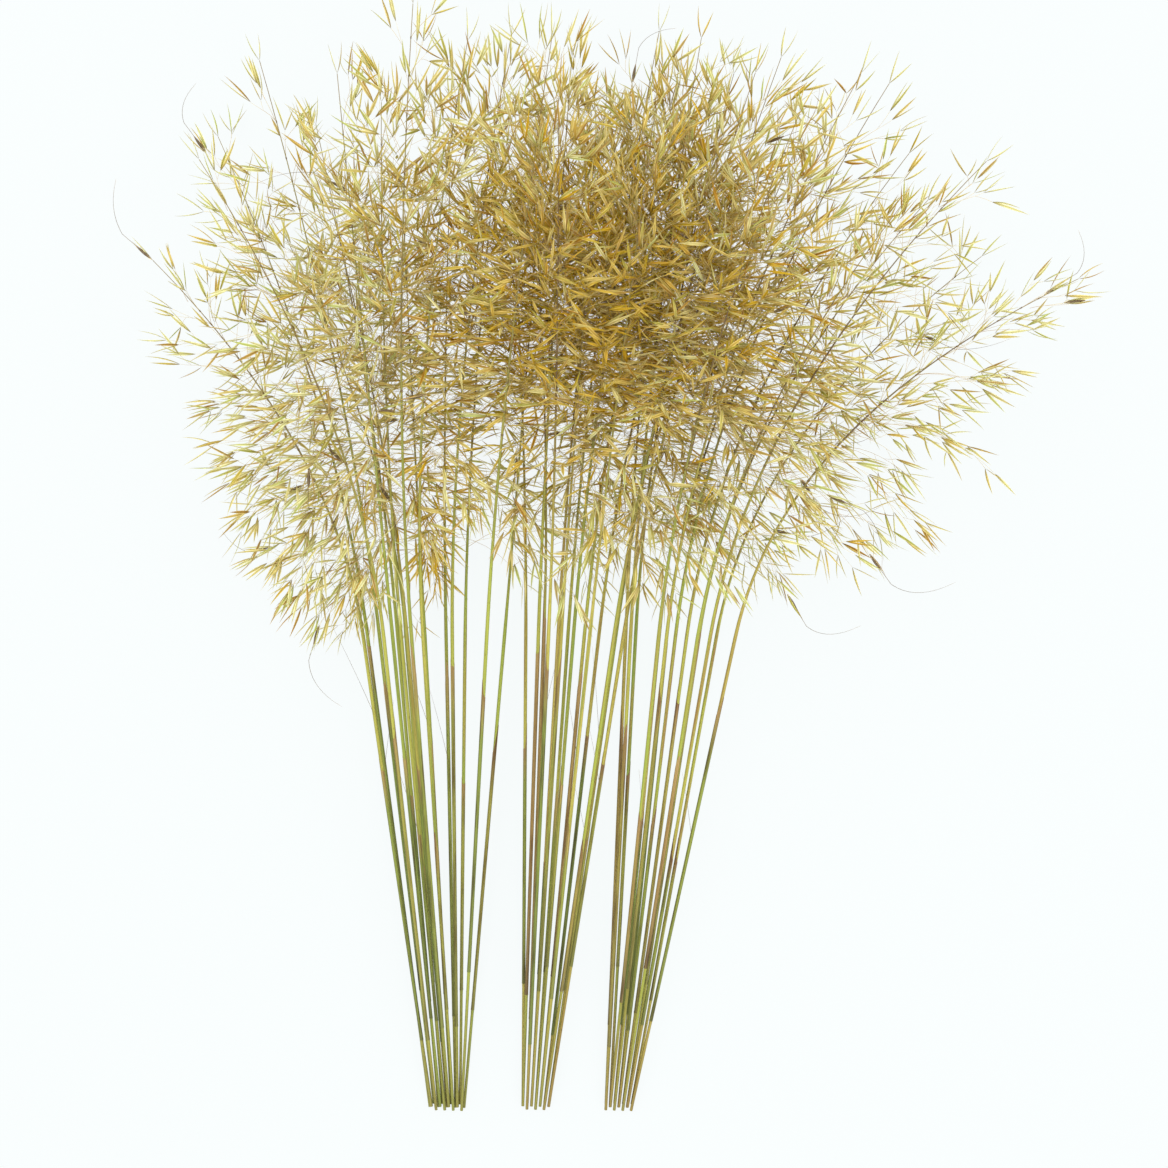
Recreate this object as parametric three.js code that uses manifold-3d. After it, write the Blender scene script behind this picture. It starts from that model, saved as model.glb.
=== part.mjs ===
// A bundle of dried giant feather grass, laid on a flat surface: cut, leafless stems in three bunches
// that lie side by side. Every stem grew as one piece and is one solid: a straight culm that thins into
// the rachis of an open head, and branches that each end in a spikelet of two long pointed glumes.
// Millimetres. X runs across the bundle, +Y from the cut ends to the heads, and +Z up from the surface.

import * as THREE from "three";
import Module from "manifold-3d";

const wasm = await Module();
wasm.setup();

// Cut ends, and the neck of the bundle, where the heads begin to open
const CUT_Y = -556;
const CUT_SPREAD = 7;
const NECK_Y = -61;

// Feet: the stems of a bunch lie in two rows, one on the other, and the lower row lies flat at first
const FOOT_PITCH = 4.5;
const ROW_PITCH = 4.2;
const LYING_LENGTH = 40;

// Culm: radius at the foot, at the neck, where the head begins and under the topmost spikelet
const CULM_SIDES = 5;
const TOP_CORNER = Math.PI / 2;
const FOOT_RADIUS = 2.1;
const NECK_RADIUS = 1.9;
const HEAD_RADIUS = 1.5;
const TOP_RADIUS = 0.95;
const FLAT_SHARE = Math.cos(Math.PI / CULM_SIDES);
const HALF_HEIGHT_SHARE = (1 + FLAT_SHARE) / 2;
const FREE_BEND = 0.45;

// Height of the heads over the surface, one level after the other
const LOWEST_LEVEL = 24;
const LEVEL_STEP = 40;
const LEVELS_OF_ROW = [
  [0, 2, 1],
  [3, 5, 4],
];
const RISE_END_Y = 400;
const SAG = 0.3;
const CLEARANCE = 0.35;
const LIFT_STEP = 4;
const LIFT_TRIES = 13;
const FIRST_SEED = 4049;
const SEED_STEP = 97;
const SEED_RANGE = 1000000;

// Head: branches per stem, their length and their angle to the rachis, from the lowest to the topmost
const BRANCHES = 7;
const HEAD_START = [0.53, 0.58];
const TOP_SHARE = 0.97;
const TOP_GAP = 0.02;
const BRANCH_LENGTH = [128, 34];
const LENGTH_SPREAD = [0.8, 1.2];
const BRANCH_ANGLE = [64, 26];
const ANGLE_SPREAD = [-7, 7];
const BRANCH_DROOP = [0.3, 0];
const BRANCH_ROOT_SIDES = 3;
const BRANCH_SIDES = 4;
const BRANCH_RADIUS = 0.75;
const FLATTENED = 0.62;
const FULL_TURN = 360;
const GOLDEN_ANGLE = 137.5;
const TURN_SPREAD = [-15, 15];
const PLACE_SPREAD = [0.3, 0.7];
const TURN_STEP = 8;
const TURN_TRIES = 44;
const SHORTENED = 0.008;

// Spikelet: two lance-shaped glumes that open from a thickened foot
const GLUME_LENGTH = [27, 33];
const GLUME_RADIUS = 1.5;
const WIDEST_SHARE = 0.34;
const CALLUS_RADIUS = 0.95;
const OPENING = [7, 17];
const SPIKELET_DROOP = [0.75, -0.15];
const LOWEST_FORK = 2.5;

// The stems of each bunch in their order from left to right: x at the neck, and x and y of the tip
const BUNCHES = [
  {
    name: "left",
    footX: -174,
    stems: [
      [-256, -424, 487],
      [-251, -474, 330],
      [-238, -360, 542],
      [-225, -404, 412],
      [-222, -309, 490],
      [-219, -265, 505],
      [-216, -353, 377],
      [-213, -225, 490],
      [-210, -289, 397],
      [-198, -183, 556],
      [-194, -216, 426],
      [-189, -132, 536],
      [-174, -167, 471],
      [-162, -93, 554],
      [-151, -113, 446],
      [-125, -54, 525],
      [-112, -69, 456],
    ],
  },
  {
    name: "middle",
    footX: -81,
    stems: [
      [-91, -113, 495],
      [-76, -39, 534],
      [-71, -83, 417],
      [-65, -54, 471],
      [-57, -3, 520],
      [-53, -15, 436],
      [-47, 25, 544],
      [-41, 49, 558],
      [-30, 74, 529],
      [-25, 39, 456],
      [-15, 103, 485],
      [-1, 142, 505],
      [3, 118, 426],
      [9, 172, 532],
    ],
  },
  {
    name: "right",
    footX: 6,
    stems: [
      [13, 56, 475],
      [16, 88, 549],
      [22, 127, 529],
      [42, 181, 456],
      [47, 211, 490],
      [51, 248, 503],
      [56, 230, 417],
      [61, 284, 505],
      [74, 314, 446],
      [80, 284, 368],
      [88, 343, 407],
      [94, 377, 417],
      [108, 412, 353],
      [121, 488, 305],
    ],
  },
];

const GOLDEN_STRAW = new THREE.MeshStandardMaterial({ color: 0xc8a552, roughness: 0.75, metalness: 0 });

// Repeatable random numbers from 0 to 1, by Lehmer's rule
const LEHMER_FACTOR = 16807;
const LEHMER_PRIME = 2147483647;

function seededRandom(seed) {
  let state = seed;
  return () => {
    state = (state * LEHMER_FACTOR) % LEHMER_PRIME;
    return state / LEHMER_PRIME;
  };
}

// The value at a share of the way from the first of a pair to the second
function mix([start, end], share) {
  return start + (end - start) * share;
}

// Point of a culm at a share of its length: straight to the neck, then in one bend to the tip
function culmPoint(stem, share) {
  const point = new THREE.Vector3();
  if (share < stem.neckShare) {
    point.lerpVectors(stem.foot, stem.neck, share / stem.neckShare);
  } else {
    const along = (share - stem.neckShare) / (1 - stem.neckShare);
    point.addScaledVector(stem.neck, (1 - along) ** 2);
    point.addScaledVector(stem.bend, 2 * along * (1 - along));
    point.addScaledVector(stem.tip, along ** 2);
  }
  const rise = Math.max(0, (point.y - stem.riseY) / (RISE_END_Y - stem.riseY));
  point.z = stem.footZ + (stem.level - stem.footZ) * rise * (1 + SAG - SAG * rise);
  return point;
}

const DIRECTION_STEP = 0.005;

function culmDirection(stem, share) {
  const ahead = culmPoint(stem, Math.min(1, share + DIRECTION_STEP));
  return ahead.sub(culmPoint(stem, Math.max(0, share - DIRECTION_STEP))).normalize();
}

function culmRadius(stem, share) {
  if (share <= stem.lyingShare) return FOOT_RADIUS;
  if (share < stem.neckShare) {
    return mix([FOOT_RADIUS, NECK_RADIUS], (share - stem.lyingShare) / (stem.neckShare - stem.lyingShare));
  }
  if (share < stem.headStart) {
    return mix([NECK_RADIUS, HEAD_RADIUS], (share - stem.neckShare) / (stem.headStart - stem.neckShare));
  }
  return mix([HEAD_RADIUS, TOP_RADIUS], (share - stem.headStart) / (1 - stem.headStart));
}

// Directions across a culm, level with the surface and straight up, so that a foot lies on a flat
function uprightAxes(direction) {
  const side = new THREE.Vector3(direction.y, -direction.x, 0).normalize();
  return { side, up: new THREE.Vector3(0, 0, 1) };
}

// Directions across a branch or a glume, measured from +Z, or from +Y where the branch itself is steep
const STEEP = 0.8;

function acrossAxes(direction) {
  const helper = Math.abs(direction.z) > STEEP ? new THREE.Vector3(0, 1, 0) : new THREE.Vector3(0, 0, 1);
  const side = new THREE.Vector3().crossVectors(direction, helper).normalize();
  return { side, up: new THREE.Vector3().crossVectors(side, direction) };
}

function range(start, end) {
  return Array.from({ length: end - start }, (_, index) => start + index);
}

// The angle round a ring towards which its first glume opens, opposite its second corner
function acrossAngle(sides, startAngle) {
  return startAngle + (2 * Math.PI) / sides + Math.PI;
}

// A closed solid through rings of corners. The first ring may have fewer corners than the others, and
// the last one splits into two arms, one for each glume
function forkedSolid({ points, radii, axes, rootSides, sides, startAngle, glumes }) {
  const corners = [];
  const faces = [];
  const addRing = (centre, radius, { side, up }, angles) =>
    angles.map((angle) => {
      const at = centre.clone();
      at.addScaledVector(side, radius * Math.cos(angle)).addScaledVector(up, radius * Math.sin(angle));
      return corners.push(at) - 1;
    });
  const joinRings = (lower, upper) => {
    lower.forEach((here, index) => {
      const next = (index + 1) % lower.length;
      faces.push(here, upper[index], upper[next]);
      if (here !== lower[next]) faces.push(here, upper[next], lower[next]);
    });
  };
  const evenAngles = (count) => range(0, count).map((corner) => startAngle + (2 * Math.PI * corner) / count);
  const rings = points.map((point, index) =>
    addRing(point, radii[index], axes[index], evenAngles(index === 0 ? rootSides : sides)),
  );
  for (let corner = 1; corner + 1 < rootSides; corner += 1) {
    faces.push(rings[0][0], rings[0][corner], rings[0][corner + 1]);
  }
  while (rings[0].length < sides) rings[0].push(rings[0][0]);
  rings.slice(1).forEach((ring, index) => joinRings(rings[index], ring));
  const last = rings[rings.length - 1];
  const lastAxes = axes[axes.length - 1];
  const arms = [[2, ...range(3, sides), 0], [0, 1, 2]];
  arms.forEach((arm, index) => {
    const { widest, tip } = glumes[index];
    const middle = acrossAngle(sides, startAngle) + index * Math.PI;
    const spread = (2 * Math.PI) / arm.length;
    const armAngles = arm.map((_, corner) => middle + spread * (corner - (arm.length - 1) / 2));
    const ring = addRing(widest, GLUME_RADIUS, lastAxes, armAngles);
    joinRings(arm.map((corner) => last[corner]), ring);
    const point = corners.push(tip) - 1;
    ring.forEach((here, corner) => faces.push(here, point, ring[(corner + 1) % ring.length]));
  });
  const mesh = new wasm.Mesh({
    numProp: 3,
    vertProperties: Float32Array.from(corners.flatMap((corner) => corner.toArray())),
    triVerts: Uint32Array.from(faces),
  });
  return new wasm.Manifold(mesh);
}

// Shortest distance between two straight pieces, from a to b and from c to d
const PARALLEL = 1e-9;

function distanceBetween(a, b, c, d) {
  const first = b.clone().sub(a);
  const second = d.clone().sub(c);
  const apart = a.clone().sub(c);
  const firstSquare = first.lengthSq();
  const secondSquare = second.lengthSq();
  const alongFirst = first.dot(apart);
  const alongSecond = second.dot(apart);
  const cross = first.dot(second);
  const spread = firstSquare * secondSquare - cross * cross;
  const clamp = (value) => Math.min(1, Math.max(0, value));
  let onFirst = spread > PARALLEL ? clamp((cross * alongSecond - alongFirst * secondSquare) / spread) : 0;
  let onSecond = (cross * onFirst + alongSecond) / secondSquare;
  if (onSecond < 0) {
    onSecond = 0;
    onFirst = clamp(-alongFirst / firstSquare);
  } else if (onSecond > 1) {
    onSecond = 1;
    onFirst = clamp((cross - alongFirst) / firstSquare);
  }
  return apart.addScaledVector(first, onFirst).addScaledVector(second, -onSecond).length();
}

// Every round bar placed so far: a, b and radius, and the stem where it is part of a culm
const placed = [];

// A stem's own culm is no obstacle to its branches, which grow from it
function isClear(bars, stem) {
  return bars.every((bar) =>
    placed.every(
      (other) =>
        other.stem === stem ||
        distanceBetween(bar.a, bar.b, other.a, other.b) >= bar.radius + other.radius + CLEARANCE,
    ),
  );
}

// Where the rings of a culm sit, as shares of its length
function culmShares(stem) {
  const rest = TOP_SHARE - stem.neckShare;
  return [0, stem.lyingShare, stem.neckShare, stem.neckShare + rest / 3, TOP_SHARE - rest / 3, TOP_SHARE];
}

// Point on the axis of a culm's solid, which runs straight from ring to ring
function axisPoint(stem, share) {
  const shares = culmShares(stem);
  const ring = shares.findIndex((start, index) => share <= shares[index + 1]);
  const along = (share - shares[ring]) / (shares[ring + 1] - shares[ring]);
  return culmPoint(stem, shares[ring]).lerp(culmPoint(stem, shares[ring + 1]), along);
}

function culmBars(stem) {
  const shares = culmShares(stem);
  return shares.slice(1).map((share, index) => ({
    stem,
    a: culmPoint(stem, shares[index]),
    b: culmPoint(stem, share),
    radius: HALF_HEIGHT_SHARE * culmRadius(stem, shares[index]),
  }));
}

// Sets a stem's path, and lifts its head a little where it would cross an earlier culm
function layStem(bunch, index, seed) {
  const [neckX, tipX, tipY] = bunch.stems[index];
  const random = seededRandom(seed);
  random();
  const row = index % 2;
  const slot = Math.floor(index / 2);
  const slots = Math.ceil((bunch.stems.length - row) / 2);
  const footX = bunch.footX + (slot - (slots - 1) / 2) * FOOT_PITCH;
  const neck = new THREE.Vector3(neckX, NECK_Y, 0);
  const longer = (CUT_SPREAD * (random() - 0.5)) / (NECK_Y - CUT_Y);
  const foot = new THREE.Vector3(footX, CUT_Y, 0).lerp(neck, -longer);
  const tip = new THREE.Vector3(tipX, tipY, 0);
  const lower = foot.distanceTo(neck);
  const upper = neck.distanceTo(tip);
  const stem = {
    name: `stem_${bunch.name}_${String(index + 1).padStart(2, "0")}`,
    random,
    foot,
    neck,
    bend: neck.clone().addScaledVector(neck.clone().sub(foot), (FREE_BEND * upper) / lower),
    tip,
    lyingShare: ((CUT_Y + LYING_LENGTH - foot.y) / (NECK_Y - foot.y)) * (lower / (lower + upper)),
    neckShare: lower / (lower + upper),
    headStart: mix(HEAD_START, random()),
    footZ: FOOT_RADIUS * FLAT_SHARE + row * ROW_PITCH,
    riseY: row === 0 ? CUT_Y + LYING_LENGTH : CUT_Y + CUT_SPREAD / 2,
  };
  const level = LOWEST_LEVEL + LEVEL_STEP * LEVELS_OF_ROW[row][slot % LEVELS_OF_ROW[row].length];
  let bars = [];
  for (let attempt = 0; attempt < LIFT_TRIES; attempt += 1) {
    stem.level = level + LIFT_STEP * attempt;
    bars = culmBars(stem);
    if (isClear(bars, stem)) break;
  }
  placed.push(...bars);
  return stem;
}

// Two glumes that open from a fork to both sides of a direction
function openSpikelet(fork, direction, across, random) {
  const opening = THREE.MathUtils.degToRad(mix(OPENING, random()));
  return [1, -1].map((sign) => {
    const length = mix(GLUME_LENGTH, random());
    const along = direction.clone().multiplyScalar(Math.cos(opening));
    along.addScaledVector(across, sign * Math.sin(opening));
    stayAbove(along, fork, length, 0);
    const widest = fork.clone().addScaledVector(along, WIDEST_SHARE * length);
    const tip = fork.clone().addScaledVector(along, length);
    return { widest, tip };
  });
}

// Bends a direction up so that what starts at a point doesn't end lower than the given height
function stayAbove(direction, start, length, height) {
  direction.z = Math.max(direction.z, (height - start.z) / length);
}

function directionAt({ side, up }, angle) {
  return side.clone().multiplyScalar(Math.cos(angle)).addScaledVector(up, Math.sin(angle));
}

// One branch, turned round the rachis until it is clear of every other stem
function growBranch(stem, index) {
  const { random } = stem;
  const height = (index + mix(PLACE_SPREAD, random())) / BRANCHES;
  const share = stem.headStart + (TOP_SHARE - TOP_GAP - stem.headStart) * height;
  const fullLength = mix(BRANCH_LENGTH, height) * mix(LENGTH_SPREAD, random());
  const angle = THREE.MathUtils.degToRad(mix(BRANCH_ANGLE, height) + mix(ANGLE_SPREAD, random()));
  const azimuth = stem.turn + GOLDEN_ANGLE * index + mix(TURN_SPREAD, random());
  const roll = Math.PI * random();
  const spikeletSeed = 1 + Math.floor(SEED_RANGE * random());
  const root = axisPoint(stem, share);
  const forward = culmDirection(stem, share);
  const rachisAxes = acrossAxes(forward);
  for (let attempt = 0; attempt < TURN_TRIES; attempt += 1) {
    const turned = TURN_STEP * Math.ceil(attempt / 2) * (attempt % 2 === 0 ? -1 : 1);
    const length = fullLength * (1 - SHORTENED * attempt);
    const outward = directionAt(rachisAxes, THREE.MathUtils.degToRad(azimuth + turned));
    outward.z *= FLATTENED;
    const heading = forward.clone().multiplyScalar(Math.cos(angle)).addScaledVector(outward, Math.sin(angle));
    heading.normalize();
    heading.y -= mix(BRANCH_DROOP, height);
    stayAbove(heading, root, length, LOWEST_FORK);
    const fork = root.clone().addScaledVector(heading, length);
    const facing = heading.clone();
    facing.y -= mix(SPIKELET_DROOP, height);
    facing.normalize();
    const axes = acrossAxes(facing);
    const startAngle = fork.z < GLUME_LENGTH[1] ? 0 : roll;
    const across = directionAt(axes, acrossAngle(BRANCH_SIDES, startAngle));
    const glumes = openSpikelet(fork, facing, across, seededRandom(spikeletSeed));
    const bars = [{ a: root, b: fork, radius: CALLUS_RADIUS }];
    glumes.forEach((glume) => bars.push({ a: fork, b: glume.tip, radius: GLUME_RADIUS }));
    if (isClear(bars, stem)) {
      placed.push(...bars);
      return forkedSolid({
        points: [root, fork],
        radii: [BRANCH_RADIUS, CALLUS_RADIUS],
        axes: [axes, axes],
        rootSides: BRANCH_ROOT_SIDES,
        sides: BRANCH_SIDES,
        startAngle,
        glumes,
      });
    }
  }
  return null;
}

// The culm with its rachis, which ends in the topmost spikelet
function culmSolid(stem) {
  const shares = culmShares(stem);
  return forkedSolid({
    points: shares.map((share) => culmPoint(stem, share)),
    radii: shares.map((share) => culmRadius(stem, share)),
    axes: shares.map((share) => uprightAxes(culmDirection(stem, share))),
    rootSides: CULM_SIDES,
    sides: CULM_SIDES,
    startAngle: TOP_CORNER,
    glumes: stem.topGlumes,
  });
}

function toGeometry(solid) {
  const mesh = solid.getMesh();
  const geometry = new THREE.BufferGeometry();
  geometry.setAttribute("position", new THREE.BufferAttribute(mesh.vertProperties, 3));
  geometry.setIndex(new THREE.BufferAttribute(mesh.triVerts, 1));
  geometry.computeVertexNormals();
  return geometry;
}

const stems = [];
BUNCHES.forEach((bunch) => {
  bunch.stems.forEach((_, index) => stems.push(layStem(bunch, index, FIRST_SEED + SEED_STEP * stems.length)));
});

stems.forEach((stem) => {
  stem.turn = FULL_TURN * stem.random();
  const fork = culmPoint(stem, TOP_SHARE);
  const facing = culmDirection(stem, TOP_SHARE);
  const across = directionAt(uprightAxes(facing), acrossAngle(CULM_SIDES, TOP_CORNER));
  stem.topGlumes = openSpikelet(fork, facing, across, stem.random);
  stem.topGlumes.forEach((glume) => placed.push({ stem, a: fork, b: glume.tip, radius: GLUME_RADIUS }));
});

const bundle = new THREE.Group();
stems.forEach((stem) => {
  let solid = culmSolid(stem);
  for (let index = 0; index < BRANCHES; index += 1) {
    const branch = growBranch(stem, index);
    if (branch) solid = solid.add(branch);
  }
  const mesh = new THREE.Mesh(toGeometry(solid), GOLDEN_STRAW);
  mesh.name = stem.name;
  bundle.add(mesh);
});

export default bundle;
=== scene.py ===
# A dried bundle of giant feather grass that lies on a pale surface, seen from straight above.
# Lengths are millimetres until a mesh is made, in the frame's own axes: X across the bundle, +Y from
# the cut ends to the heads, +Z up.
import math
from types import SimpleNamespace

import bpy
import numpy as np
from mathutils import Color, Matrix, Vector


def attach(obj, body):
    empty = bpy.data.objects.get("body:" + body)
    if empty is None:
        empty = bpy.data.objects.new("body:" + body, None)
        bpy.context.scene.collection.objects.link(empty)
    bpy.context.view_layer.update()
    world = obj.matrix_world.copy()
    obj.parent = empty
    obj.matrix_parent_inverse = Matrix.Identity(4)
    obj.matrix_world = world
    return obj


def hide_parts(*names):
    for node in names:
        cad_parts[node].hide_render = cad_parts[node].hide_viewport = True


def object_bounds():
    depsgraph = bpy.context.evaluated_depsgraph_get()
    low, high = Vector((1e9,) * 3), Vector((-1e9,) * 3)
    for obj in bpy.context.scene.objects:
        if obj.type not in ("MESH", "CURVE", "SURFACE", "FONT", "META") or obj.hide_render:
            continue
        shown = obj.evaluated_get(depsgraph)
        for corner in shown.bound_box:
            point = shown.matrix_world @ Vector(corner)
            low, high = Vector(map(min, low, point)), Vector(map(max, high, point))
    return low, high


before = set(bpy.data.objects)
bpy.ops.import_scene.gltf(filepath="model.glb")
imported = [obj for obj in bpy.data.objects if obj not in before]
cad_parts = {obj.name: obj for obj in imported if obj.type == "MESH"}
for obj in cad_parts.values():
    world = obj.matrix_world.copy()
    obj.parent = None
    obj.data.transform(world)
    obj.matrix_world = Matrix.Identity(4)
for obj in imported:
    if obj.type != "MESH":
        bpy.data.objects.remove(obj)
cad_low, cad_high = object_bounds()

MM = 0.001
FORWARD = np.array([0.0, 1.0, 0.0])
UP = np.array([0.0, 0.0, 1.0])

# Most pairs are the ends of a random range, or values at the start and the end of a head, branch,
# pedicel or awn

# The rule that lays the stems and grows the main branches is the frame's own, with the same seeded
# draws, so that every fine stem lies where its solid does
CUT_Y = -556.0
CUT_SPREAD = 7.0
NECK_Y = -61.0
FOOT_PITCH = 4.5
ROW_PITCH = 4.2
LYING_LENGTH = 40.0
CULM_SIDES = 5
TOP_CORNER = math.pi / 2
FOOT_RADIUS = 2.1
NECK_RADIUS = 1.9
HEAD_RADIUS = 1.5
TOP_RADIUS = 0.95
FLAT_SHARE = math.cos(math.pi / CULM_SIDES)
HALF_HEIGHT_SHARE = (1 + FLAT_SHARE) / 2
FREE_BEND = 0.45
LOWEST_LEVEL = 24.0
LEVEL_STEP = 40.0
LEVELS_OF_ROW = [[0, 2, 1], [3, 5, 4]]
RISE_END_Y = 400.0
SAG = 0.3
CLEARANCE = 0.35
LIFT_STEP = 4.0
LIFT_TRIES = 13
FIRST_SEED = 4049
SEED_STEP = 97
SEED_RANGE = 1000000
BRANCHES = 7
HEAD_START = (0.53, 0.58)
TOP_SHARE = 0.97
HEAD_END = TOP_SHARE - 0.02
BRANCH_LENGTH = (128.0, 34.0)
LENGTH_SPREAD = (0.8, 1.2)
BRANCH_ANGLE = (64.0, 26.0)
ANGLE_SPREAD = (-7.0, 7.0)
BRANCH_DROOP = (0.3, 0.0)
BRANCH_SIDES = 4
FLATTENED = 0.62
FULL_TURN = 360.0
GOLDEN_ANGLE = 137.5
TURN_SPREAD = (-15.0, 15.0)
PLACE_SPREAD = (0.3, 0.7)
TURN_STEP = 8.0
TURN_TRIES = 44
SHORTENED = 0.008
GLUME_LENGTH = (27.0, 33.0)
GLUME_RADIUS = 1.5
CALLUS_RADIUS = 0.95
OPENING = (7.0, 17.0)
SPIKELET_DROOP = (0.75, -0.15)
LOWEST_FORK = 2.5
STEEP = 0.8
DIRECTION_STEP = 0.005
PARALLEL = 1e-9
LEHMER_FACTOR = 16807
LEHMER_PRIME = 2147483647

# The stems of each bunch from left to right: x at the neck, and x and y of the tip
BUNCHES = [
    ("left", -174, [
        (-256, -424, 487), (-251, -474, 330), (-238, -360, 542), (-225, -404, 412), (-222, -309, 490),
        (-219, -265, 505), (-216, -353, 377), (-213, -225, 490), (-210, -289, 397), (-198, -183, 556),
        (-194, -216, 426), (-189, -132, 536), (-174, -167, 471), (-162, -93, 554), (-151, -113, 446),
        (-125, -54, 525), (-112, -69, 456),
    ]),
    ("middle", -81, [
        (-91, -113, 495), (-76, -39, 534), (-71, -83, 417), (-65, -54, 471), (-57, -3, 520),
        (-53, -15, 436), (-47, 25, 544), (-41, 49, 558), (-30, 74, 529), (-25, 39, 456),
        (-15, 103, 485), (-1, 142, 505), (3, 118, 426), (9, 172, 532),
    ]),
    ("right", 6, [
        (13, 56, 475), (16, 88, 549), (22, 127, 529), (42, 181, 456), (47, 211, 490),
        (51, 248, 503), (56, 230, 417), (61, 284, 505), (74, 314, 446), (80, 284, 368),
        (88, 343, 407), (94, 377, 417), (108, 412, 353), (121, 488, 305),
    ]),
]

# Fine culm and rachis
CULM_TONE = {"left": (0.15, 0.65), "middle": (0.0, 0.85), "right": (0.05, 0.8)}
CULM_SHADE = {"left": (0.0, 0.6), "middle": (0.1, 1.0), "right": (0.4, 1.0)}
SHEATH_TONE = {"left": (0.1, 0.75), "middle": (0.0, 0.95), "right": (0.1, 0.9)}
LOWER_RINGS = 14
UPPER_RINGS = 30
ROUND_SIDES = 8
ROUND_SHARE = 1.07
BARE_TOP_RADIUS = 0.3
BARE_TAPER = 1.45
HOLLOW_SHARE = 0.45
HOLLOW_DEPTH = 7.0
JOINT_Y = (-490.0, -400.0)
JOINT_SWELLING = 0.1
JOINT_HALF_LENGTH = 2.2
JOINT_PLACES = np.linspace(-2, 2, 5)
SHEATH_THICKNESS = 0.2
SHEATH_WALL = 0.18
SHEATH_END_Y = (-330.0, -40.0)
SHEATH_RINGS = 14
SHEATH_TONGUE = (10.0, 34.0)
TONGUE_SHARPNESS = 3
SHEATH_TEAR = 2.5
KNOT_PLACES = np.array([-1.0, 0.0, 1.0])
KNOT_HALF_LENGTH = 1.3
KNOT_SWELLING = (0.05, 0.3, 0.05)
KNOT_ALONG = 0.7
PITH_ALONG = -0.1
CULM_OFFSET = 60.0

# Fine head: whorls of hair-fine branches that bear spikelets on pedicels in their outer part
FINE_SEED = 20
WHORLS = 15
WHORL_BRANCHES = 6.4
WHORL_PLACE = (0.1, 0.9)

# By the x of a stem's tip: how full its head is, and how far the fullness leans to the top
FULL_TIPS = (-474, -350, -216, -140, -75, 0, 100, 172, 215, 250, 350, 430, 488)
FULL_SHARES = (0.44, 0.37, 0.73, 0.64, 1.02, 1.1, 1.02, 0.9, 0.58, 0.42, 0.29, 0.37, 0.64)
FULL_LEANS = (1.0, 0.9, 1.05, 1.5, 1.6, 1.15, 1.1, 1.05, 1.0, 1.0, 0.95, 0.9, 0.9)
FINE_HEAD_START = (0.605, 0.65)

# By the x of a stem's neck: how many branches hang below its head, how far they lean to the right,
# and how much further up they start
HANGING_NECKS = (-256, -195, -160, -110, -90, 20, 60, 100, 121)
HANGING_BRANCHES = (6.0, 13.0, 8.0, 1.0, 3.0, 4.0, 3.4, 2.0, 3.0)
HANGING_LEANS = (-0.05, -0.05, 0.05, 0.0, 0.3, 0.05, -0.1, 0.3, 0.6)
HANGING_LIFTS = (0.12, 0.06, 0.06, 0.1, 0.14, 0.12, 0.16, 0.3, 0.5)
HANGING_HEIGHT = (-0.08, 0.16)
HANGING_DROOP = 0.7

# Spikelets lie above this line of x and y
LOWEST_X = (-440, -338, -290, -182, -155, -110, -85, 100, 190, 300, 430)
LOWEST_Y = (75, -10, -58, -58, 50, 50, -45, -45, -20, 25, 60)

# Fine branches, their spikelets and pedicels
FINE_BRANCH_LENGTH = (112.0, 36.0)
FINE_BRANCH_ANGLE = (70.0, 35.0)
FINE_BRANCH_DROOP = (0.4, 0.0)
FINE_SPIKELET_DROOP = (0.5, -0.15)
FINE_LENGTH_SPREAD = (0.5, 1.15)
FINE_ANGLE_SPREAD = (-14.0, 12.0)
BRANCH_DROOP_SPREAD = (0.3, 1.6)
SPIKELET_DROOP_SPREAD = (0.2, 1.4)
BRANCH_RINGS = 8
BRANCH_FINE_RADIUS = (0.25, 0.11)
BRANCH_UPRIGHT = 0.7
BRANCH_LEAVES = 0.36
BRANCH_ARRIVES = 0.24
SPIKELET_EVERY = 16.5
SPIKELET_ROUNDING = (0.2, 1.2)
FIRST_SPIKELET = 0.32
LAST_SPIKELET = 0.86
PEDICEL_RINGS = 4
PEDICEL_LENGTH = (24.0, 12.0)
PEDICEL_SPREAD = (0.6, 1.2)
PEDICEL_ANGLE = (15.0, 50.0)
PEDICEL_BOW = 0.125
PEDICEL_RADIUS = (0.11, 0.2)
HAIR_SIDES = 3
POINT_SHARE = 0.5
SHARP_FROM = 75.0

# Glume: a thin keeled blade, with places along it and its half width there as a share of the widest
BLADE_STOPS = np.array([0.05, 0.2, 0.4, 0.62, 0.83])
BLADE_WIDTHS = np.array([0.28, 0.74, 1.0, 0.74, 0.32])
BLADE_HALF_WIDTH = (1.05, 1.65)
KEEL_SHARE = 0.55
BLADE_THICKNESS = 0.2
BLADE_CURVE = (-0.03, 0.06)
BLADE_ROLL = 40.0
FINE_OPENING = (3.0, 29.0)
FINE_GLUME_LENGTH = (27.0, 38.0)
GLUME_OFFSET = 150.0

# Glumes deep in the two thick parts of the heads are tinted golden as painted shade, for light that
# reaches them through many glumes, and those outside are pale straw
GOLD_SHADE_MIDDLES = np.array([[-20.0, 268.0, 95.0], [-192.0, 50.0, 60.0]])
GOLD_SHADE_REACHES = np.array([[228.0, 190.0, 210.0], [60.0, 85.0, 120.0]])
GOLD_SHADE_TONE = (0.06, 1.0)
TONE_SPREAD = 0.27

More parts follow.
